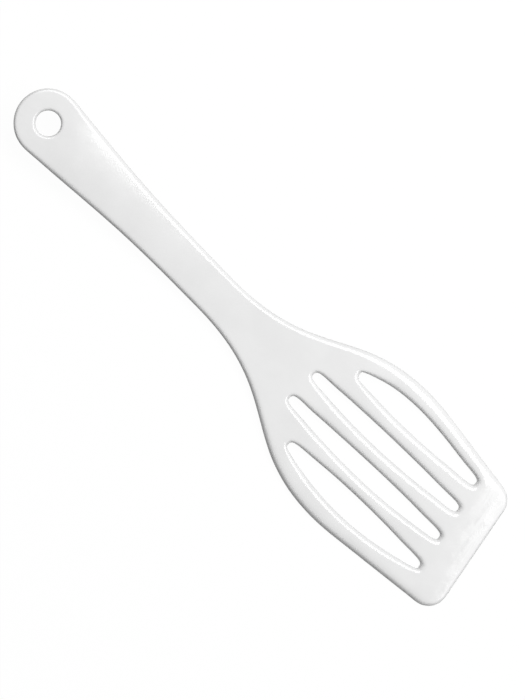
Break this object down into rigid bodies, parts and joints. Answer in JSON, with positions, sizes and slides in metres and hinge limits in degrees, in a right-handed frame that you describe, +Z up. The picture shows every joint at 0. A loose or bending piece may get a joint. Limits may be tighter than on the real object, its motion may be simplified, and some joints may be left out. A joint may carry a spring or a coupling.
{
  "type": "pastry spatula",
  "caption": "Moulded pastry spatula with a slotted, slant-fronted blade, a slim neck and a rounded handle with a hanging hole.",
  "frame": {"origin": "middle of the bounding box's footprint, on the table that the blade lies on", "axes": "+X along the spatula from the hanging hole towards the front edge, +Y to the left seen from above, where the front edge slants back, +Z up"},
  "size_m": [0.28, 0.0738, 0.0161],
  "materials": {
    "melamine": "gloss"
  },
  "bodies": {
    "root": {"spatula_moulding": "melamine"}
  },
  "joints": []
}
